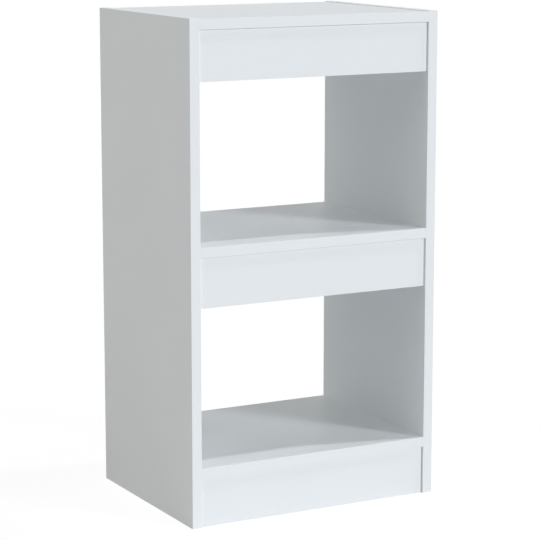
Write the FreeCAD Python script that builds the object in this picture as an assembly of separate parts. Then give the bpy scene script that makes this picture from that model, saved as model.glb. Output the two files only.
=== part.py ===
import FreeCAD, Part

import math
import os

from FreeCAD import Placement, Rotation, Vector

# Overall size in millimetres. The origin is on the floor in the middle of the footprint,
# +X is to the right, the front faces -Y and +Z is up.
WIDTH = 400.0
DEPTH = 300.0
HEIGHT = 720.0

# Boards: white melamine-faced chipboard of one thickness. The top panel lies a little below the
# top edges of the sides, and the three rails lie a little behind the front edges.
BOARD = 15.0
TOP_DROP = 1.0
RAIL_HEIGHT = 71.5
RAIL_SET_BACK = 3.0

# Edge band: a plastic strip glued on each sawn edge that shows, its outer corners scraped round.
BAND = 0.8
BAND_ROUNDING = 0.3

# Cam bolt: a threaded end for the side panel, a plain shank, a neck and a flattened ball head.
BOLT_THREAD_DIAMETER = 5.0
BOLT_THREAD_LENGTH = 10.5
BOLT_POINT = 1.0
BOLT_SHANK_DIAMETER = 7.0
BOLT_SHANK_GAP = 0.8
BOLT_SHANK_PLAY = 0.5
BOLT_NECK_DIAMETER = 4.0
BOLT_NECK_TAPER = 1.5
BOLT_HEAD_DIAMETER = 6.6
BOLT_HEAD_FLAT_SHARE = 0.75

# Cam lock: a zinc drum with an eccentric chamber, a slot for the neck and a cross recess.
CAM_DIAMETER = 15.0
CAM_FROM_END = 24.0
CAM_THROW = 1.2
CAM_ROOF = 0.5
CAM_HEAD_PLAY = 0.2
CAM_NECK_PLAY = 0.3
CROSS_SPAN = 7.0
CROSS_WIDTH = 1.6
CROSS_DEPTH = 2.2

# Cover cap: a shallow dome that hides the cam lock, with a cross plug in its recess.
CAP_DIAMETER = 17.0
CAP_RIM = 0.6
CAP_HEIGHT = 1.1
CAP_PLUG_DEPTH = 1.8
CAP_PLUG_PLAY = 0.1

# Dowel: a beech peg with chamfered ends, its shorter length in the face of a board.
DOWEL_DIAMETER = 8.0
DOWEL_LENGTH = 30.0
DOWEL_IN_FACE = 10.0
DOWEL_CHAMFER = 1.0

# Places of the fittings on the shelves and on the rails.
CAM_FROM_EDGE = 50.0
DOWEL_FROM_CAM = 32.0
RAIL_CAM_FROM_TOP = 20.0
RAIL_DOWEL_FROM_CAM = 32.0
RAIL_TOP_DOWEL_SPACING = 180.0

# Radial gap of a fastener in its bore, spare depth of a blind bore, and overrun of every cut.
FIT_GAP = 0.05
BORE_END_GAP = 0.5
OVERRUN = 1.0

# Each level from the floor up: the horizontal board, and the rail that stands under its front.
LEVELS = (
    ("bottom_shelf", "plinth_rail"),
    ("middle_shelf", "middle_rail"),
    ("top_panel", "top_rail"),
)
SIDES = (("left_side", -1), ("right_side", 1))

RIGHT = Vector(1, 0, 0)
BACK = Vector(0, 1, 0)
UP = Vector(0, 0, 1)

half_board = BOARD / 2
inner_x = WIDTH / 2 - BOARD
side_x = WIDTH / 2 - half_board
front_y = -DEPTH / 2
core_y = DEPTH / 2 - BAND
rail_y = front_y + RAIL_SET_BACK + half_board
level_pitch = (HEIGHT - TOP_DROP - RAIL_HEIGHT - BOARD) / (len(LEVELS) - 1)
level_tops = [RAIL_HEIGHT + BOARD + level_pitch * i for i in range(len(LEVELS))]

head_radius = BOLT_HEAD_DIAMETER / 2
chamber_radius = head_radius + CAM_THROW + FIT_GAP
chamber_half = head_radius + CAM_HEAD_PLAY
cam_radius = CAM_DIAMETER / 2
cam_height = half_board + chamber_half + CAM_ROOF


def block(x, y, z):
    """A board's blank, between its two limits along each axis."""
    return Part.makeBox(x[1] - x[0], y[1] - y[0], z[1] - z[0], Vector(x[0], y[0], z[0]))


def edge_band(start, along, outward, length):
    """A strip of band, from the middle of the board's glued edge at one end along its length."""
    flat = half_board - BAND_ROUNDING
    rise = BAND - BAND_ROUNDING
    bulge = BAND_ROUNDING * math.sqrt(0.5)
    left = Vector(0, -half_board, 0)
    right = Vector(0, half_board, 0)
    right_rise = Vector(0, half_board, rise)
    right_top = Vector(0, flat, BAND)
    left_top = Vector(0, -flat, BAND)
    left_rise = Vector(0, -half_board, rise)
    section = Part.Wire([
        Part.LineSegment(left, right).toShape(),
        Part.LineSegment(right, right_rise).toShape(),
        Part.Arc(right_rise, Vector(0, flat + bulge, rise + bulge), right_top).toShape(),
        Part.LineSegment(right_top, left_top).toShape(),
        Part.Arc(left_top, Vector(0, -flat - bulge, rise + bulge), left_rise).toShape(),
        Part.LineSegment(left_rise, left).toShape(),
    ])
    strip = Part.Face(section).extrude(Vector(length, 0, 0))
    strip.Placement = Placement(start, Rotation(along, outward.cross(along), outward, "XZY"))
    return strip


# Fittings are drawn in a frame of their own: the origin is where the end of one board meets the
# face of the other, X runs into the board's end along its middle, and its cam's face is at -Z.


def rod(diameter, start, end):
    """A round bar along the fitting's X axis."""
    return Part.makeCylinder(diameter / 2, end - start, Vector(start, 0, 0), RIGHT)


def turned(edges, axis):
    """A solid of revolution, from a closed half section that lies against its axis."""
    return Part.Face(Part.Wire(edges)).revolve(Vector(), axis, 360)


def polyline(*points):
    return [Part.LineSegment(a, b).toShape() for a, b in zip(points, points[1:])]


def cross(span, width, low, high):
    """Two crossed bars about the cam's axis, between two heights."""
    depth = high - low
    long_bar = Part.makeBox(span, width, depth, Vector(CAM_FROM_END - span / 2, -width / 2, low))
    wide_bar = Part.makeBox(width, span, depth, Vector(CAM_FROM_END - width / 2, -span / 2, low))
    return long_bar.fuse(wide_bar)


def make_cam_bolt():
    thread = BOLT_THREAD_DIAMETER / 2
    shank = BOLT_SHANK_DIAMETER / 2
    neck = BOLT_NECK_DIAMETER / 2
    shank_end = CAM_FROM_END - cam_radius - BOLT_SHANK_GAP
    neck_end = CAM_FROM_END - math.sqrt(head_radius**2 - neck**2)
    head_flat = head_radius * BOLT_HEAD_FLAT_SHARE
    head_end = Vector(CAM_FROM_END + head_flat, math.sqrt(head_radius**2 - head_flat**2), 0)
    tip = Vector(-BOLT_THREAD_LENGTH, 0, 0)
    head_start = Vector(neck_end, neck, 0)
    stem = polyline(
        tip,
        Vector(-BOLT_THREAD_LENGTH, thread - BOLT_POINT, 0),
        Vector(BOLT_POINT - BOLT_THREAD_LENGTH, thread, 0),
        Vector(0, thread, 0),
        Vector(0, shank, 0),
        Vector(shank_end - BOLT_NECK_TAPER, shank, 0),
        Vector(shank_end, neck, 0),
        head_start,
    )
    ball = Part.Arc(head_start, Vector(CAM_FROM_END, head_radius, 0), head_end).toShape()
    end_face = polyline(head_end, Vector(CAM_FROM_END + head_flat, 0, 0), tip)
    return turned(stem + [ball] + end_face, RIGHT)


def make_cam_lock():
    """The drum as it is when locked: the ball head went in at the far side, and half a turn drew
    the thick wall of the eccentric chamber behind it while the slot let the neck pass."""
    slot = BOLT_NECK_DIAMETER + 2 * CAM_NECK_PLAY
    reach = cam_radius + OVERRUN
    drum = Part.makeCylinder(cam_radius - FIT_GAP, cam_height, Vector(CAM_FROM_END, 0, -half_board))
    chamber_foot = Vector(CAM_FROM_END + CAM_THROW, 0, -chamber_half)
    chamber = Part.makeCylinder(chamber_radius, 2 * chamber_half, chamber_foot)
    entry = rod(2 * (head_radius + FIT_GAP), CAM_FROM_END, CAM_FROM_END + reach)
    rest = Part.makeBox(reach, slot, slot, Vector(CAM_FROM_END - reach, -slot / 2, -slot / 2))
    sweep = Part.makeCylinder(reach, slot, Vector(CAM_FROM_END, 0, -slot / 2), UP, 180)
    recess = cross(CROSS_SPAN, CROSS_WIDTH, -half_board - OVERRUN, CROSS_DEPTH - half_board)
    return drum.cut([chamber, entry, rest, sweep, recess])


def make_cam_cap():
    radius = CAP_DIAMETER / 2
    rise = CAP_HEIGHT - CAP_RIM
    dome_radius = (radius**2 + rise**2) / (2 * rise)
    half_fall = dome_radius - math.sqrt(dome_radius**2 - radius**2 / 4)
    seat = Vector(0, 0, -half_board)
    rim = Vector(radius, 0, -half_board)
    rim_top = Vector(radius, 0, -half_board - CAP_RIM)
    mid = Vector(radius / 2, 0, half_fall - half_board - CAP_HEIGHT)
    crown = Vector(0, 0, -half_board - CAP_HEIGHT)
    edges = polyline(seat, rim, rim_top) + [Part.Arc(rim_top, mid, crown).toShape()]
    dome = turned(edges + polyline(crown, seat), UP)
    dome.translate(Vector(CAM_FROM_END, 0, 0))
    span = CROSS_SPAN - 2 * CAP_PLUG_PLAY
    width = CROSS_WIDTH - 2 * CAP_PLUG_PLAY
    plug = cross(span, width, -half_board, CAP_PLUG_DEPTH - half_board)
    return dome.fuse(plug).removeSplitter()


def make_dowel():
    radius = DOWEL_DIAMETER / 2
    end = DOWEL_LENGTH - DOWEL_IN_FACE
    first = Vector(-DOWEL_IN_FACE, 0, 0)
    return turned(polyline(
        first,
        Vector(-DOWEL_IN_FACE, radius - DOWEL_CHAMFER, 0),
        Vector(DOWEL_CHAMFER - DOWEL_IN_FACE, radius, 0),
        Vector(end - DOWEL_CHAMFER, radius, 0),
        Vector(end, radius - DOWEL_CHAMFER, 0),
        Vector(end, 0, 0),
        first,
    ), RIGHT)


cam_bolt = make_cam_bolt()
cam_lock = make_cam_lock()
cam_cap = make_cam_cap()
dowel = make_dowel()

thread_bore = rod(BOLT_THREAD_DIAMETER + 2 * FIT_GAP, -BOLT_THREAD_LENGTH - BORE_END_GAP, OVERRUN)
shank_bore = rod(BOLT_SHANK_DIAMETER + 2 * BOLT_SHANK_PLAY, -OVERRUN, CAM_FROM_END)
cam_pocket = Part.makeCylinder(
    cam_radius,
    OVERRUN + cam_height + BORE_END_GAP,
    Vector(CAM_FROM_END, 0, -half_board - OVERRUN),
)
dowel_bore = DOWEL_DIAMETER + 2 * FIT_GAP
dowel_face_bore = rod(dowel_bore, -DOWEL_IN_FACE - BORE_END_GAP, OVERRUN)
dowel_end_bore = rod(dowel_bore, -OVERRUN, DOWEL_LENGTH - DOWEL_IN_FACE + BORE_END_GAP)


def fitting_place(origin, inward, cam_up):
    return Placement(origin, Rotation(inward, cam_up.cross(inward), cam_up, "XZY"))


def placed(shape, place):
    copy = shape.copy()
    copy.Placement = place
    return copy


boards = {}
bores = {}
bands = {}
fasteners = {"cam_bolts": [], "cam_locks": [], "cam_cover_caps": [], "wooden_dowels": []}


def add_board(name, blank):
    boards[name] = blank
    bores[name] = []


def fit_cam(face_board, end_board, place):
    """Draws the end of one board tight to the face of another."""
    bores[face_board].append(placed(thread_bore, place))
    bores[end_board] += [placed(shank_bore, place), placed(cam_pocket, place)]
    fasteners["cam_bolts"].append(placed(cam_bolt, place))
    fasteners["cam_locks"].append(placed(cam_lock, place))
    fasteners["cam_cover_caps"].append(placed(cam_cap, place))


def fit_dowel(face_board, end_board, place):
    """Keeps the end of one board in line on the face of another."""
    bores[face_board].append(placed(dowel_face_bore, place))
    bores[end_board].append(placed(dowel_end_bore, place))
    fasteners["wooden_dowels"].append(placed(dowel, place))


# The two side panels run the full height, with their top, front and back edges banded.
for side, sign in SIDES:
    x = sign * side_x
    limits = (x - half_board, x + half_board)
    add_board(side + "_panel", block(limits, (-core_y, core_y), (0, HEIGHT - BAND)))
    bands[side + "_front_edge_band"] = edge_band(Vector(x, -core_y, 0), UP, -BACK, HEIGHT)
    bands[side + "_back_edge_band"] = edge_band(Vector(x, core_y, 0), UP, BACK, HEIGHT)
    top_start = Vector(x, -core_y, HEIGHT - BAND)
    bands[side + "_top_edge_band"] = edge_band(top_start, BACK, UP, 2 * core_y)

# Each level is a horizontal board between the sides, with a rail under its front. The rails over
# the two compartments are banded below, and the plinth rail stands on the floor.
span = (-inner_x, inner_x)
for (shelf, rail), top in zip(LEVELS, level_tops):
    under = top - BOARD
    add_board(shelf, block(span, (-core_y, core_y), (under, top)))
    for edge, outward in (("_front_edge_band", -BACK), ("_back_edge_band", BACK)):
        start = outward * core_y + Vector(-inner_x, 0, top - half_board)
        bands[shelf + edge] = edge_band(start, RIGHT, outward, 2 * inner_x)
    rail_foot = under - RAIL_HEIGHT
    on_floor = rail == LEVELS[0][1]
    if not on_floor:
        rail_foot += BAND
        start = Vector(-inner_x, rail_y, rail_foot)
        bands[rail + "_bottom_edge_band"] = edge_band(start, RIGHT, -UP, 2 * inner_x)
    add_board(rail, block(span, (rail_y - half_board, rail_y + half_board), (rail_foot, under)))

# Fittings: on each side two cams and two dowels hold each shelf, one cam and one dowel each rail,
# and two upright dowels tie each rail to the shelf over it.
cam_y = DEPTH / 2 - CAM_FROM_EDGE
dowel_y = cam_y - DOWEL_FROM_CAM
for (shelf, rail), top in zip(LEVELS, level_tops):
    under = top - BOARD
    for side, sign in SIDES:
        panel = side + "_panel"
        inward = RIGHT * -sign
        for end in (-1, 1):
            cam_at = Vector(sign * inner_x, end * cam_y, top - half_board)
            dowel_at = Vector(sign * inner_x, end * dowel_y, top - half_board)
            fit_cam(panel, shelf, fitting_place(cam_at, inward, UP))
            fit_dowel(panel, shelf, fitting_place(dowel_at, inward, UP))
        cam_at = Vector(sign * inner_x, rail_y, under - RAIL_CAM_FROM_TOP)
        dowel_at = cam_at - UP * RAIL_DOWEL_FROM_CAM
        fit_cam(panel, rail, fitting_place(cam_at, inward, -BACK))
        fit_dowel(panel, rail, fitting_place(dowel_at, inward, -BACK))
        upright_at = Vector(sign * RAIL_TOP_DOWEL_SPACING / 2, rail_y, under)
        fit_dowel(shelf, rail, fitting_place(upright_at, -UP, BACK))

os.makedirs("parts", exist_ok=True)
for name, blank in boards.items():
    blank.cut(bores[name]).exportStep(f"parts/{name}.step")
for name, strip in bands.items():
    strip.exportStep(f"parts/{name}.step")
for name, solids in fasteners.items():
    Part.makeCompound(solids).exportStep(f"parts/{name}.step")
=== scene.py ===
import math

import bpy
from mathutils import Matrix, Vector


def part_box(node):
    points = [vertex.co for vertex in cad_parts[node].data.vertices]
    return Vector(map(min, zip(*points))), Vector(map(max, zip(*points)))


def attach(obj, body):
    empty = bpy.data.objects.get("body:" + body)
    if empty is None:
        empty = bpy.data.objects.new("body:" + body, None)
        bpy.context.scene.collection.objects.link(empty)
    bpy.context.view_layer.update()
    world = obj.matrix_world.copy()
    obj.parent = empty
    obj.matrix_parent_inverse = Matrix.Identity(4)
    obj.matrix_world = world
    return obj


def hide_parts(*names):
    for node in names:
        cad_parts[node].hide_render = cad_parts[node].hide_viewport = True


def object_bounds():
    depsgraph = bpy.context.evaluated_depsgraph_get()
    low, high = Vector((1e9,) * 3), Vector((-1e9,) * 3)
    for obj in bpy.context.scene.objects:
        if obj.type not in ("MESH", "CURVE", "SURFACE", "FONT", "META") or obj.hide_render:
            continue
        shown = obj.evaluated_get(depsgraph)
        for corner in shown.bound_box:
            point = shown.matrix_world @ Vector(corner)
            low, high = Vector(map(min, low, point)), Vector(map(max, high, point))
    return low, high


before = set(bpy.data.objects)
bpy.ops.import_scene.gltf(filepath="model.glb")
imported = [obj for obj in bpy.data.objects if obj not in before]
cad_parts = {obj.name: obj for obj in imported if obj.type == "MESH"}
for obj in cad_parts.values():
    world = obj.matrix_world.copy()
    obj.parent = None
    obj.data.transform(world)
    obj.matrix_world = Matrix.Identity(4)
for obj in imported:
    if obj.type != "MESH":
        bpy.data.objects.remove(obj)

cad_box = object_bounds()

# Side panels: two full-height boards of chipboard, with white melamine paper pressed on both faces.
# The press plate leaves the paper satin and faintly pearled. The saw leaves the chips of the core
# bare, which shows underneath, where the panels stand on the floor.
MM = 0.001
SIDE_PANELS = ("left_side_panel", "right_side_panel")
PAPER_WHITES = ("EAEEF0", "EEF2F4")
PAPER_ROUGHNESS = (0.42, 0.54)
PAPER_IOR = 1.5
CLOUD = 170.0 * MM  # slow drift in the whiteness of the paper
PEARL = 3.0 * MM  # the real pearl is 0.5 mm across, too fine to show
PEARL_DEPTH = 0.004 * MM
CHIP_WOODS = ("E3CBA4", "BE966A")
BARK = "7D5B3C"
BARK_SHARE = 0.1  # of all chips
CORE_CHIP = (7.0 * MM, 1.1 * MM)  # length in the board's plane, and thickness
SKIN_CHIP = (2.2 * MM, 0.5 * MM)
SKIN_SHARE = 0.62  # where the fine outer chips begin, from the middle of the board to its face
CHIP_GAP = (0.4, 0.8)  # where the gap's painted shade begins and is darkest, in chips from a chip's middle
# painted shade in the gaps between chips: at its darkest, the chips' colour falls to this share
CHIP_GAP_PAINTED_SHADE = 0.55
CHIP_DEPTH = 0.12 * MM
CHIP_ROUGHNESS = 0.88
FACE_SQUARENESS = 0.9  # on a broad face, more than this share of the normal runs through the board


def linear(code):
    """The linear colour of a six-figure sRGB hex code."""
    shares = [int(code[i:i + 2], 16) / 255 for i in (0, 2, 4)]
    return [s / 12.92 if s <= 0.04045 else ((s + 0.055) / 1.055) ** 2.4 for s in shares] + [1.0]


def add(tree, kind, sockets=None, **settings):
    """Adds a node with its settings, and gives its sockets a value or a link from another node."""
    made = tree.nodes.new("ShaderNode" + kind)
    for name, value in settings.items():
        setattr(made, name, value)
    for name, value in (sockets or {}).items():
        if isinstance(value, bpy.types.NodeSocket):
            tree.links.new(value, made.inputs[name])
        else:
            made.inputs[name].default_value = value
    return made


def new_finish(name):
    """An empty material and its node tree."""
    finish = bpy.data.materials.new(name)
    finish.use_nodes = True
    finish.node_tree.nodes.clear()
    return finish, finish.node_tree


def coat(tree, sockets):
    """Ends a material's tree in a Principled shader with these sockets."""
    shader = add(tree, "BsdfPrincipled", sockets)
    add(tree, "OutputMaterial", {"Surface": shader.outputs["BSDF"]})


def dress(node, finish):
    """Gives a CAD node its finish."""
    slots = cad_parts[node].data.materials
    slots.clear()
    slots.append(finish)


def melamine_chipboard(node):
    """Satin white paper on a board's two broad faces, and three layers of bare chips elsewhere,
    with painted shade in the gaps between the chips.
    """
    low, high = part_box(node)
    size = high - low
    through = min(range(3), key=lambda axis: size[axis])
    finish, tree = new_finish("melamine_chipboard_" + node)
    here = add(tree, "TexCoord")

    pearl = add(tree, "TexNoise", {"Vector": here.outputs["Object"], "Scale": 1 / PEARL,
                                   "Detail": 2.0})
    cloud = add(tree, "TexNoise", {"Vector": here.outputs["Object"], "Scale": 1 / CLOUD,
                                   "Detail": 1.0})
    paper = add(tree, "Mix", {"Factor": cloud.outputs["Fac"], "A": linear(PAPER_WHITES[0]),
                              "B": linear(PAPER_WHITES[1])}, data_type="RGBA")
    satin = add(tree, "MapRange", {"Value": pearl.outputs["Fac"], "To Min": PAPER_ROUGHNESS[0],
                                   "To Max": PAPER_ROUGHNESS[1]})

    centred = add(tree, "Mapping", {"Vector": here.outputs["Object"],
                                    "Location": -(low + high) / 2})
    along = add(tree, "SeparateXYZ", {"Vector": centred.outputs["Vector"]})
    depth = add(tree, "Math", {0: along.outputs["XYZ"[through]]}, operation="ABSOLUTE")
    in_skin = add(tree, "Math", {0: depth.outputs[0], 1: SKIN_SHARE * size[through] / 2},
                  operation="GREATER_THAN")
    layers = []
    for length, thickness in (CORE_CHIP, SKIN_CHIP):
        chip = Vector((length, length, length))
        chip[through] = thickness
        layers.append(add(tree, "Mapping", {"Vector": here.outputs["Object"],
                                            "Scale": [1 / side for side in chip]}))
    layer = add(tree, "Mix", {"Factor": in_skin.outputs[0], "A": layers[0].outputs["Vector"],
                              "B": layers[1].outputs["Vector"]}, data_type="VECTOR")
    chips = add(tree, "TexVoronoi", {"Vector": layer.outputs["Result"], "Scale": 1.0})
    lot = add(tree, "SeparateColor", {"Color": chips.outputs["Color"]})
    wood = add(tree, "Mix", {"Factor": lot.outputs["Red"], "A": linear(CHIP_WOODS[0]),
                             "B": linear(CHIP_WOODS[1])}, data_type="RGBA")
    is_bark = add(tree, "Math", {0: lot.outputs["Green"], 1: 1 - BARK_SHARE},
                  operation="GREATER_THAN")
    mixed = add(tree, "Mix", {"Factor": is_bark.outputs[0], "A": wood.outputs["Result"],
                              "B": linear(BARK)}, data_type="RGBA")
    # painted shade: the chips' colour darkens towards the gaps between them, where shade falls in
    # the real board
    gap_painted_shade = add(tree, "MapRange", {"Value": chips.outputs["Distance"], "From Min": CHIP_GAP[0],
                                  "From Max": CHIP_GAP[1], "To Min": 1.0, "To Max": CHIP_GAP_PAINTED_SHADE})
    core = add(tree, "Mix", {"Factor": 1.0, "A": mixed.outputs["Result"],
                             "B": gap_painted_shade.outputs["Result"]}, data_type="RGBA", blend_type="MULTIPLY")

    normal = add(tree, "SeparateXYZ", {"Vector": here.outputs["Normal"]})
    square = add(tree, "Math", {0: normal.outputs["XYZ"[through]]}, operation="ABSOLUTE")
    is_face = add(tree, "Math", {0: square.outputs[0], 1: FACE_SQUARENESS},
                  operation="GREATER_THAN")
    on_face = is_face.outputs[0]
    colour = add(tree, "Mix", {"Factor": on_face, "A": core.outputs["Result"],
                               "B": paper.outputs["Result"]}, data_type="RGBA")
    rough = add(tree, "Mix", {"Factor": on_face, "A": CHIP_ROUGHNESS, "B": satin.outputs["Result"]})
    relief = add(tree, "Mix", {"Factor": on_face, "A": chips.outputs["Distance"],
                               "B": pearl.outputs["Fac"]})
    reach = add(tree, "Mix", {"Factor": on_face, "A": CHIP_DEPTH, "B": PEARL_DEPTH})
    bump = add(tree, "Bump", {"Height": relief.outputs["Result"],
                              "Distance": reach.outputs["Result"]})
    coat(tree, {"Base Color": colour.outputs["Result"], "Roughness": rough.outputs["Result"],
                "Normal": bump.outputs["Normal"], "IOR": PAPER_IOR})
    return finish


for panel in SIDE_PANELS:
    dress(panel, melamine_chipboard(panel))

# Edge bands: strips of white ABS, glued on each sawn edge that shows and scraped round at the
# corners. They are extruded, so faint drawing lines run along them, and they are a little
# smoother than the paper beside them.
BAND_WHITES = ("EBEFF1", "EEF2F4")
BAND_ROUGHNESS = (0.36, 0.46)
BAND_IOR = 1.53
DRAWN_LINE = (80.0 * MM, 1.5 * MM)  # length and width of a line, drawn wider than the real 0.2 mm
DRAWN_DEPTH = 0.003 * MM


def abs_edge_band(axis):
    """Extruded satin ABS, its drawing lines running along one axis."""
    finish, tree = new_finish("abs_edge_band_along_" + "xyz"[axis])
    here = add(tree, "TexCoord")
    line = Vector((DRAWN_LINE[1],) * 3)
    line[axis] = DRAWN_LINE[0]
    stretched = add(tree, "Mapping", {"Vector": here.outputs["Object"],
                                      "Scale": [1 / side for side in line]})
    lines = add(tree, "TexNoise", {"Vector": stretched.outputs["Vector"], "Scale": 1.0,
                                   "Detail": 2.0})
    white = add(tree, "Mix", {"Factor": lines.outputs["Fac"], "A": linear(BAND_WHITES[0]),
                              "B": linear(BAND_WHITES[1])}, data_type="RGBA")
    satin = add(tree, "MapRange", {"Value": lines.outputs["Fac"], "To Min": BAND_ROUGHNESS[0],
                                   "To Max": BAND_ROUGHNESS[1]})
    bump = add(tree, "Bump", {"Height": lines.outputs["Fac"], "Distance": DRAWN_DEPTH})
    coat(tree, {"Base Color": white.outputs["Result"], "Roughness": satin.outputs["Result"],
                "Normal": bump.outputs["Normal"], "IOR": BAND_IOR})
    return finish


band_finishes = [abs_edge_band(axis) for axis in range(3)]
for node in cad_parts:
    if node.endswith("_edge_band"):
        low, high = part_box(node)
        size = high - low
        dress(node, band_finishes[max(range(3), key=lambda axis: size[axis])])

# Cam bolts: turned steel bolts with a coarse rolled thread, plated bright with zinc. The thread is
# driven into a bore in the side panel by the cross recess in the ball head, and the head reaches
# through the end of a shelf or rail into its cam lock.
BOLT_CORNERS = 24
BOLT_THREAD_LENGTH = 10.5 * MM
BOLT_THREAD_RADIUS = 2.5 * MM
BOLT_ROOT_SHARE = 0.7
BOLT_PITCH = 2.4 * MM
BOLT_TURN_STEPS = 12
BOLT_RIDGE_ANGLE = math.radians(110)  # how far round the section the ridge reaches, each way
BOLT_CREST_SHARE = 0.2
BOLT_POINT_STEPS = 5
BOLT_POINT_SHARE = 0.9  # width of each step of the point, as a share of the step before
BOLT_SHANK_RADIUS = 3.5 * MM
BOLT_SHANK_EDGE = 0.4 * MM
BOLT_SHANK_END = 15.7 * MM
BOLT_NECK_TAPER = 1.5 * MM
BOLT_NECK_RADIUS = 2.0 * MM
BOLT_HEAD_RADIUS = 3.3 * MM
BOLT_HEAD_FLAT_SHARE = 0.75
BOLT_HEAD_RINGS = 8
BOLT_SINK = 1.0 * MM  # how far the thread's bar runs on inside the shank
RECESS_SPAN = 2.9 * MM
RECESS_WIDTH = 0.8 * MM
RECESS_DEPTH = 1.5 * MM
PLATING_GREYS = ("B4BAC0", "CCD1D4")
PLATING_ROUGHNESS = (0.2, 0.36)
PLATING_MOTTLE = 0.6 * MM
CAM_FROM_END = 24.0 * MM
CAM_FROM_EDGE = 50.0 * MM
RAIL_CAM_FROM_TOP = 20.0 * MM
SMOOTH_ANGLE = math.radians(35)
SLIVER = 0.002 * MM  # shorter edges are left over from joining and cutting
LEVELS = (
    ("bottom_shelf", "plinth_rail"),
    ("middle_shelf", "middle_rail"),
    ("top_panel", "top_rail"),
)


def start_bar(name, corners, place, radius):
    """A disc across the Z axis, open for editing with its face selected: the first end of a bar."""
    bpy.ops.object.select_all(action="DESELECT")
    bpy.ops.mesh.primitive_circle_add(vertices=corners, radius=radius, fill_type="NGON")
    bar = bpy.context.object
    bar.name = bar.data.name = name
    bpy.ops.object.mode_set(mode="EDIT")
    bpy.ops.mesh.select_mode(type="FACE")
    bpy.ops.mesh.select_all(action="SELECT")
    bpy.ops.transform.translate(value=(0, 0, place))
    return bar


def draw_bar(step, place, grow=1.0, turn=0.0):
    """Extrudes the selected end face one step along Z to a place, scaled and turned there."""
    bpy.ops.mesh.extrude_region_move(TRANSFORM_OT_translate={"value": (0, 0, step)})
    bpy.ops.transform.resize(value=(grow, grow, 1), center_override=(0, 0, place))
    if turn:
        bpy.ops.transform.rotate(value=turn, orient_axis="Z", center_override=(0, 0, place))


def draw_rings(rings):
    """Extrudes the selected end face from the first ring on, each a place along Z and a radius."""
    for (place, radius), (next_place, next_radius) in zip(rings, rings[1:]):
        draw_bar(next_place - place, next_place, next_radius / radius)


def close_bar():
    """Ends the editing of a bar, with all its faces turned outwards."""
    bpy.ops.mesh.select_all(action="SELECT")
    bpy.ops.mesh.normals_make_consistent(inside=False)
    bpy.ops.object.mode_set(mode="OBJECT")


def cross_bar(span, width, low, high):
    """A plus-shaped bar along Z: a square whose four edges are drawn out, then drawn up."""
    bpy.ops.object.select_all(action="DESELECT")
    bpy.ops.mesh.primitive_plane_add(size=width, location=(0, 0, low))
    bar = bpy.context.object
    bpy.ops.object.transform_apply(location=True)
    arm = (span - width) / 2
    bpy.ops.object.mode_set(mode="EDIT")
    bpy.ops.mesh.select_mode(type="EDGE")
    for x, y in ((1, 0), (0, 1), (-1, 0), (0, -1)):
        bpy.ops.mesh.select_all(action="DESELECT")
        bpy.ops.object.mode_set(mode="OBJECT")
        square_side = Vector((x, y)) * width / 2
        for edge in bar.data.edges:
            middle = sum((bar.data.vertices[v].co for v in edge.vertices), Vector()) / 2
            edge.select = (middle.xy - square_side).length < width / 4
        bpy.ops.object.mode_set(mode="EDIT")
        bpy.ops.mesh.extrude_region_move(TRANSFORM_OT_translate={"value": (arm * x, arm * y, 0)})
    bpy.ops.mesh.select_mode(type="FACE")
    bpy.ops.mesh.select_all(action="SELECT")
    bpy.ops.mesh.extrude_region_move(TRANSFORM_OT_translate={"value": (0, 0, high - low)})
    close_bar()
    return bar


def combine(piece, tool, operation):
    """Joins a tool to a piece, or cuts it out, and takes the tool away."""
    fit = piece.modifiers.new("fit", "BOOLEAN")
    fit.operation = operation
    fit.solver = "EXACT"
    fit.object = tool
    bpy.ops.object.select_all(action="DESELECT")
    piece.select_set(True)
    bpy.context.view_layer.objects.active = piece
    bpy.ops.object.modifier_apply(modifier=fit.name)
    bpy.data.objects.remove(tool)
    bpy.ops.object.mode_set(mode="EDIT")
    bpy.ops.mesh.select_all(action="SELECT")
    bpy.ops.mesh.dissolve_degenerate(threshold=SLIVER)
    bpy.ops.object.mode_set(mode="OBJECT")


def place_copies(model, finish, places, node, first=1):
    """Puts a copy of a model at each place, with this finish and a mesh of its own."""
    bpy.ops.object.select_all(action="DESELECT")
    model.select_set(True)
    bpy.context.view_layer.objects.active = model
    bpy.ops.object.shade_smooth_by_angle(angle=SMOOTH_ANGLE)
    model.data.materials.clear()
    model.data.materials.append(finish)
    for number, place in enumerate(places, first):
        bpy.ops.object.select_all(action="DESELECT")
        model.select_set(True)
        bpy.context.view_layer.objects.active = model
        bpy.ops.object.duplicate()
        piece = bpy.context.object
        piece.name = piece.data.name = f"{model.name}_{number:02d}"
        piece.matrix_world = place
        bpy.ops.object.transform_apply(location=True, rotation=True, scale=True)
        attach(piece, "root")
        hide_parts(node)


def fitting_place(origin, inward, cam_up):
    """A fitting's own frame: X runs into the board's end, and the cam's face is at -Z."""
    turn = Matrix((inward, cam_up.cross(inward), cam_up)).transposed()
    return Matrix.Translation(origin) @ turn.to_4x4()


def zinc_plated_steel():
    """Bright plating on turned steel: a cold grey metal, clear in its gloss and faintly mottled."""
    finish, tree = new_finish("zinc_plated_steel")
    here = add(tree, "TexCoord")
    mottle = add(tree, "TexNoise", {"Vector": here.outputs["Object"], "Scale": 1 / PLATING_MOTTLE,
                                    "Detail": 3.0})
    colour = add(tree, "Mix", {"Factor": mottle.outputs["Fac"], "A": linear(PLATING_GREYS[0]),
                               "B": linear(PLATING_GREYS[1])}, data_type="RGBA")
    rough = add(tree, "MapRange", {"Value": mottle.outputs["Fac"], "To Min": PLATING_ROUGHNESS[0],
                                   "To Max": PLATING_ROUGHNESS[1]})
    coat(tree, {"Base Color": colour.outputs["Result"], "Roughness": rough.outputs["Result"],
                "Metallic": 1.0})
    return finish


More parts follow.
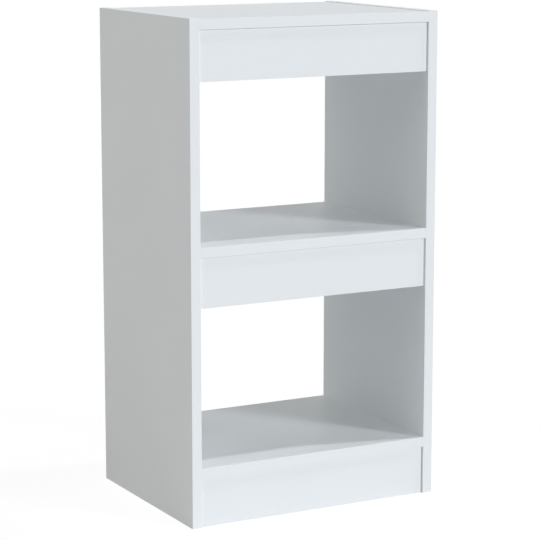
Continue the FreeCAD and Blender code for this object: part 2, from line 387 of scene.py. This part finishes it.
head_flat = BOLT_HEAD_FLAT_SHARE * BOLT_HEAD_RADIUS
flat_angle = math.asin(BOLT_HEAD_FLAT_SHARE)
neck_angle = -math.acos(BOLT_NECK_RADIUS / BOLT_HEAD_RADIUS)
stem_rings = []
for i in range(BOLT_HEAD_RINGS + 1):
    angle = flat_angle + (neck_angle - flat_angle) * i / BOLT_HEAD_RINGS
    place = CAM_FROM_END + BOLT_HEAD_RADIUS * math.sin(angle)
    stem_rings.append((place, BOLT_HEAD_RADIUS * math.cos(angle)))
stem_rings += [
    (BOLT_SHANK_END, BOLT_NECK_RADIUS),
    (BOLT_SHANK_END - BOLT_NECK_TAPER, BOLT_SHANK_RADIUS),
    (BOLT_SHANK_EDGE, BOLT_SHANK_RADIUS),
    (0, BOLT_SHANK_RADIUS - BOLT_SHANK_EDGE),
]
cam_bolt = start_bar("cam_bolt", BOLT_CORNERS, *stem_rings[0])
draw_rings(stem_rings)
close_bar()

thread = start_bar("thread", BOLT_CORNERS, BOLT_SINK, BOLT_THREAD_RADIUS)
bpy.ops.object.mode_set(mode="OBJECT")
for corner in thread.data.vertices:
    from_crest = abs(math.atan2(corner.co.y, corner.co.x)) / BOLT_RIDGE_ANGLE
    lift = min(1, max(0, (1 - from_crest) / (1 - BOLT_CREST_SHARE)))
    corner.co.xy *= BOLT_ROOT_SHARE + (1 - BOLT_ROOT_SHARE) * lift
bpy.ops.object.mode_set(mode="EDIT")
thread_run = BOLT_THREAD_LENGTH + BOLT_SINK
thread_steps = round(BOLT_TURN_STEPS * thread_run / BOLT_PITCH)
thread_step = thread_run / thread_steps
step_turn = 2 * math.pi * thread_step / BOLT_PITCH
for i in range(1, thread_steps + 1):
    grow = BOLT_POINT_SHARE if i > thread_steps - BOLT_POINT_STEPS else 1.0
    draw_bar(-thread_step, BOLT_SINK - i * thread_step, grow, step_turn)
close_bar()
combine(cam_bolt, thread, "UNION")
head_end = CAM_FROM_END + head_flat
recess = cross_bar(RECESS_SPAN, RECESS_WIDTH, head_end - RECESS_DEPTH, head_end + RECESS_DEPTH)
combine(cam_bolt, recess, "DIFFERENCE")

RIGHT, BACK, UP = Vector((1, 0, 0)), Vector((0, 1, 0)), Vector((0, 0, 1))
panel_low, panel_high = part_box("right_side_panel")
inner_x = panel_low.x
half_board = (panel_high.x - panel_low.x) / 2
cam_y = cad_box[1][1] - CAM_FROM_EDGE
cam_places = []
for shelf, rail in LEVELS:
    shelf_middle = sum(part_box(shelf), Vector()) / 2
    rail_middle = sum(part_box(rail), Vector()) / 2
    rail_cam_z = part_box(rail)[1].z - RAIL_CAM_FROM_TOP
    for sign in (-1, 1):
        inward = RIGHT * -sign
        for end in (-1, 1):
            origin = Vector((sign * inner_x, end * cam_y, shelf_middle.z))
            cam_places.append(fitting_place(origin, inward, UP))
        origin = Vector((sign * inner_x, rail_middle.y, rail_cam_z))
        cam_places.append(fitting_place(origin, inward, -BACK))
lay_along = Matrix.Rotation(math.pi / 2, 4, "Y")  # brings a bar's own Z axis to the fitting's X
bolt_places = [place @ lay_along for place in cam_places]
place_copies(cam_bolt, zinc_plated_steel(), bolt_places, "cam_bolts")
bpy.data.objects.remove(cam_bolt)

# Dowels: pegs of beech, twenty-four in all, pressed with flutes that let the glue and the air out
# and chamfered at both ends. They lie beside the cam fittings and keep each board's end in line,
# and two stand upright in the top edge of every rail.
DOWEL_FLUTES = 20
DOWEL_CORNERS = 3 * DOWEL_FLUTES  # two on each crest and one in each flute
DOWEL_RADIUS = 4.0 * MM
DOWEL_FLUTE_SHARE = 0.91
DOWEL_IN_FACE = 10.0 * MM
DOWEL_IN_END = 20.0 * MM
DOWEL_CHAMFER = 1.0 * MM
DOWEL_FROM_CAM = 32.0 * MM
RAIL_TOP_DOWEL_SPACING = 180.0 * MM
BEECH_TANS = ("E2BE95", "B98A5E")
BEECH_ROUGHNESS = 0.7
BEECH_IOR = 1.45
BEECH_FIBRE = (24.0 * MM, 0.7 * MM)
BEECH_RAYS = (0.35, 0.7)  # how dense the grain is where a ray begins and where it is darkest
BEECH_DEPTH = 0.03 * MM


def beech(axis):
    """Raw beech: pinkish tan, with short darker rays along the grain, which runs along an axis."""
    finish, tree = new_finish("beech_along_" + "xyz"[axis])
    here = add(tree, "TexCoord")
    fibre = Vector((BEECH_FIBRE[1],) * 3)
    fibre[axis] = BEECH_FIBRE[0]
    grain_space = add(tree, "Mapping", {"Vector": here.outputs["Object"],
                                        "Scale": [1 / side for side in fibre]})
    grain = add(tree, "TexNoise", {"Vector": grain_space.outputs["Vector"], "Scale": 1.0,
                                   "Detail": 4.0})
    rays = add(tree, "MapRange", {"Value": grain.outputs["Fac"], "From Min": BEECH_RAYS[0],
                                  "From Max": BEECH_RAYS[1]})
    colour = add(tree, "Mix", {"Factor": rays.outputs["Result"], "A": linear(BEECH_TANS[0]),
                               "B": linear(BEECH_TANS[1])}, data_type="RGBA")
    bump = add(tree, "Bump", {"Height": grain.outputs["Fac"], "Distance": BEECH_DEPTH})
    coat(tree, {"Base Color": colour.outputs["Result"], "Roughness": BEECH_ROUGHNESS,
                "Normal": bump.outputs["Normal"], "IOR": BEECH_IOR})
    return finish


def fluted_dowel():
    """One dowel along Z, its origin where the two boards meet."""
    end_radius = DOWEL_RADIUS - DOWEL_CHAMFER
    rings = [
        (-DOWEL_IN_FACE, end_radius),
        (DOWEL_CHAMFER - DOWEL_IN_FACE, DOWEL_RADIUS),
        (DOWEL_IN_END - DOWEL_CHAMFER, DOWEL_RADIUS),
        (DOWEL_IN_END, end_radius),
    ]
    dowel = start_bar("wooden_dowel", DOWEL_CORNERS, *rings[0])
    bpy.ops.object.mode_set(mode="OBJECT")
    for corner in dowel.data.vertices:
        if corner.index % 3 == 0:
            corner.co.xy *= DOWEL_FLUTE_SHARE
    bpy.ops.object.mode_set(mode="EDIT")
    draw_rings(rings)
    close_bar()
    return dowel


lying_places, upright_places = [], []
dowel_y = cam_y - DOWEL_FROM_CAM
for shelf, rail in LEVELS:
    shelf_middle = sum(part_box(shelf), Vector()) / 2
    rail_middle = sum(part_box(rail), Vector()) / 2
    rail_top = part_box(rail)[1].z
    rail_dowel_z = rail_top - RAIL_CAM_FROM_TOP - DOWEL_FROM_CAM
    for sign in (-1, 1):
        inward = RIGHT * -sign
        for end in (-1, 1):
            origin = Vector((sign * inner_x, end * dowel_y, shelf_middle.z))
            lying_places.append(fitting_place(origin, inward, UP) @ lay_along)
        origin = Vector((sign * inner_x, rail_middle.y, rail_dowel_z))
        lying_places.append(fitting_place(origin, inward, -BACK) @ lay_along)
        origin = Vector((sign * RAIL_TOP_DOWEL_SPACING / 2, rail_middle.y, rail_top))
        upright_places.append(fitting_place(origin, -UP, BACK) @ lay_along)
wooden_dowel = fluted_dowel()
place_copies(wooden_dowel, beech(0), lying_places, "wooden_dowels")
place_copies(wooden_dowel, beech(2), upright_places, "wooden_dowels",
             first=len(lying_places) + 1)
bpy.data.objects.remove(wooden_dowel)

# Shelves and rails: a bottom shelf, a middle shelf and a top between the sides, each with a rail
# under its front edge, the lowest of them the plinth. They are sawn from the same faced board as
# the sides, and pushed on over the dowels and bolts.
for level in LEVELS:
    for board in level:
        dress(board, melamine_chipboard(board))

# Cam locks: drums of die-cast zinc in pockets under the shelves and behind the rails. Half a turn
# of a screwdriver draws the bolt's head in and pulls the joint tight. They come tumbled from the
# die, dull grey with fine pits.
CAST_GREYS = ("A3A6A9", "B9BCBE")
CAST_ROUGHNESS = (0.42, 0.6)
BLOTCH = 4.0 * MM
PIT = 0.5 * MM
PIT_DEPTH = 0.02 * MM


def die_cast_zinc():
    """Tumbled zinc: mid grey, blotched, with the fine pits of the die."""
    finish, tree = new_finish("die_cast_zinc")
    here = add(tree, "TexCoord")
    pits = add(tree, "TexNoise", {"Vector": here.outputs["Object"], "Scale": 1 / PIT,
                                  "Detail": 4.0})
    blotch = add(tree, "TexNoise", {"Vector": here.outputs["Object"], "Scale": 1 / BLOTCH})
    colour = add(tree, "Mix", {"Factor": blotch.outputs["Fac"], "A": linear(CAST_GREYS[0]),
                               "B": linear(CAST_GREYS[1])}, data_type="RGBA")
    rough = add(tree, "MapRange", {"Value": pits.outputs["Fac"], "To Min": CAST_ROUGHNESS[0],
                                   "To Max": CAST_ROUGHNESS[1]})
    bump = add(tree, "Bump", {"Height": pits.outputs["Fac"], "Distance": PIT_DEPTH})
    coat(tree, {"Base Color": colour.outputs["Result"], "Roughness": rough.outputs["Result"],
                "Normal": bump.outputs["Normal"], "Metallic": 1.0})
    return finish


dress("cam_locks", die_cast_zinc())

# Cover caps: shallow domes of white moulded plastic, a shade warmer than the boards, pushed over
# the cam locks by a cross plug that grips in the lock's recess. Their rims are rounded by the
# mould, and its sparked wall leaves a fine matt grain.
CAP_CORNERS = 64
CAP_RADIUS = 8.5 * MM
CAP_SEAT_EDGE = 0.15 * MM
CAP_RIM = 0.6 * MM
CAP_RIM_ROUNDING = 0.3 * MM
CAP_RIM_RINGS = 4
CAP_HEIGHT = 1.1 * MM
CAP_DOME_SHARES = (0.85, 0.7, 0.55, 0.4, 0.25, 0.1)
CAP_PLUG_SPAN = 6.8 * MM
CAP_PLUG_WIDTH = 1.4 * MM
CAP_PLUG_DEPTH = 1.8 * MM
CAP_PLUG_SINK = 0.3 * MM  # how far the plug's bar runs on inside the dome
CAP_WHITES = ("E0E1DD", "E6E7E3")
CAP_ROUGHNESS = (0.44, 0.58)
CAP_IOR = 1.5
SPARK = 0.8 * MM  # the real grain is 0.1 mm, too fine to show
SPARK_DEPTH = 0.006 * MM


def moulded_cap_plastic():
    """Moulded plastic of a warm white, with a matt sparked grain."""
    finish, tree = new_finish("moulded_white_plastic")
    here = add(tree, "TexCoord")
    grain = add(tree, "TexNoise", {"Vector": here.outputs["Object"], "Scale": 1 / SPARK,
                                   "Detail": 3.0})
    colour = add(tree, "Mix", {"Factor": grain.outputs["Fac"], "A": linear(CAP_WHITES[0]),
                               "B": linear(CAP_WHITES[1])}, data_type="RGBA")
    rough = add(tree, "MapRange", {"Value": grain.outputs["Fac"], "To Min": CAP_ROUGHNESS[0],
                                   "To Max": CAP_ROUGHNESS[1]})
    bump = add(tree, "Bump", {"Height": grain.outputs["Fac"], "Distance": SPARK_DEPTH})
    coat(tree, {"Base Color": colour.outputs["Result"], "Roughness": rough.outputs["Result"],
                "Normal": bump.outputs["Normal"], "IOR": CAP_IOR})
    return finish


def domed_cap():
    """One cap about the cam's axis, its seat on the board's face and its dome towards -Z."""
    seat = -half_board
    rim_radius = CAP_RADIUS - CAP_RIM_ROUNDING
    rim_place = seat - CAP_RIM + CAP_RIM_ROUNDING
    rise = CAP_HEIGHT - CAP_RIM
    rings = [(seat, CAP_RADIUS - CAP_SEAT_EDGE), (seat - CAP_SEAT_EDGE, CAP_RADIUS)]
    for i in range(CAP_RIM_RINGS + 1):
        angle = math.pi / 2 * i / CAP_RIM_RINGS
        place = rim_place - CAP_RIM_ROUNDING * math.sin(angle)
        rings.append((place, rim_radius + CAP_RIM_ROUNDING * math.cos(angle)))
    for share in CAP_DOME_SHARES:
        rings.append((seat - CAP_RIM - rise * (1 - share**2), rim_radius * share))
    cap = start_bar("cam_cover_cap", CAP_CORNERS, *rings[0])
    draw_rings(rings)
    close_bar()
    plug = cross_bar(CAP_PLUG_SPAN, CAP_PLUG_WIDTH, seat - CAP_PLUG_SINK, seat + CAP_PLUG_DEPTH)
    combine(cap, plug, "UNION")
    return cap


cap_places = [place @ Matrix.Translation((CAM_FROM_END, 0, 0)) for place in cam_places]
cover_cap = domed_cap()
place_copies(cover_cap, moulded_cap_plastic(), cap_places, "cam_cover_caps")
bpy.data.objects.remove(cover_cap)

# Studio: a pale grey floor that runs out of sight and keeps a soft shadow, under soft lamps. The
# floor and the sky are seen as white, both straight and in gloss. All other light comes from the
# lamps, and from the floor as far as they light it.
FLOOR_SIZE = 60.0
FLOOR_GREY = "D3D3D3"
BACKGROUND_WHITE = "FFFFFF"
FLOOR_GLOW = 1.15  # over 1, because the paint that it is mixed with is darker than white
FLOOR_GLOW_SHARE = 0.8  # the rest of what is seen is the paint, which shows the shadow
LOW_LAMP = 20.0  # lamps under this many degrees would glare on the boards, so gloss omits them
CAMERA_PLACE = (-1.4701, -2.7258, 0.8954)
CAMERA_TURN = -0.4962  # radians about Z, from looking along +Y
CAMERA_PITCH = -0.1799  # radians up from level
CAMERA_LENS = 140.4
CAMERA_REACH = 100.0
LAMPS = (
    # name, degrees to the right of the front, degrees up, degrees across, strength, colour;
    # at strength 1, a white board that faces the lamp renders white
    ("key", 32, 15, 14, 0.7, "F9FCFF"),
    ("right_high", 77.6, 51, 2.5, 0.28, "F3F6FF"),
    ("front_left", -30, 35, 35, 0.083, "FFFDF8"),
    ("left", -80, 35, 35, 0.137, "FFFDF8"),
    ("left_high", -95, 55, 35, 0.12, "FFFDF8"),
    ("left_back", -120, 35, 35, 0.094, "FFFDF8"),
    ("back_high", 180, 35, 35, 0.035, "FFFDF8"),
    ("back_low", 180, 1, 20, 0.42, "FFFDF8"),
)


def seen_white(tree):
    """1 for a ray that shows the background straight, in gloss or through glass, or else 0."""
    path = add(tree, "LightPath")
    seen = add(tree, "Math", {0: path.outputs["Is Camera Ray"], 1: path.outputs["Is Glossy Ray"]},
               operation="MAXIMUM")
    return add(tree, "Math", {0: seen.outputs[0], 1: path.outputs["Is Transmission Ray"]},
               operation="MAXIMUM").outputs[0]


bpy.ops.object.select_all(action="DESELECT")
bpy.ops.mesh.primitive_plane_add(size=FLOOR_SIZE)
floor = bpy.context.object
floor.name = floor.data.name = "floor"
floor_paint, tree = new_finish("matt_pale_grey_floor_paint")
matt = add(tree, "BsdfDiffuse", {"Color": linear(FLOOR_GREY)})
glow = add(tree, "Emission", {"Color": linear(BACKGROUND_WHITE), "Strength": FLOOR_GLOW})
glow_share = add(tree, "Math", {0: seen_white(tree), 1: FLOOR_GLOW_SHARE}, operation="MULTIPLY")
paint = add(tree, "MixShader", {0: glow_share.outputs[0], 1: matt.outputs["BSDF"],
                                2: glow.outputs["Emission"]})
add(tree, "OutputMaterial", {"Surface": paint.outputs["Shader"]})
floor_paint.cycles.emission_sampling = "NONE"  # the glow is seen, but is no lamp
floor.data.materials.append(floor_paint)

world = bpy.data.worlds.new("studio")
bpy.context.scene.world = world
world.use_nodes = True
sky = world.node_tree
sky.nodes.clear()
background = add(sky, "Background", {"Color": linear(BACKGROUND_WHITE),
                                     "Strength": seen_white(sky)})
add(sky, "OutputWorld", {"Surface": background.outputs["Background"]})

for name, right_of_front, up, across, strength, colour in LAMPS:
    round_z, tilt = math.radians(right_of_front), math.radians(90 - up)
    bpy.ops.object.light_add(type="SUN", rotation=(tilt, 0, round_z))
    lamp = bpy.context.object
    lamp.name = lamp.data.name = name
    lamp.data.angle = math.radians(across)
    lamp.data.energy = math.pi * strength
    lamp.data.color = linear(colour)[:3]
    lamp.visible_glossy = up > LOW_LAMP

look = (math.pi / 2 + CAMERA_PITCH, 0, CAMERA_TURN)
bpy.ops.object.camera_add(location=CAMERA_PLACE, rotation=look)
camera = bpy.context.object
camera.data.lens = CAMERA_LENS
camera.data.clip_end = CAMERA_REACH
bpy.context.scene.camera = camera
bpy.context.scene.view_settings.view_transform = "Standard"
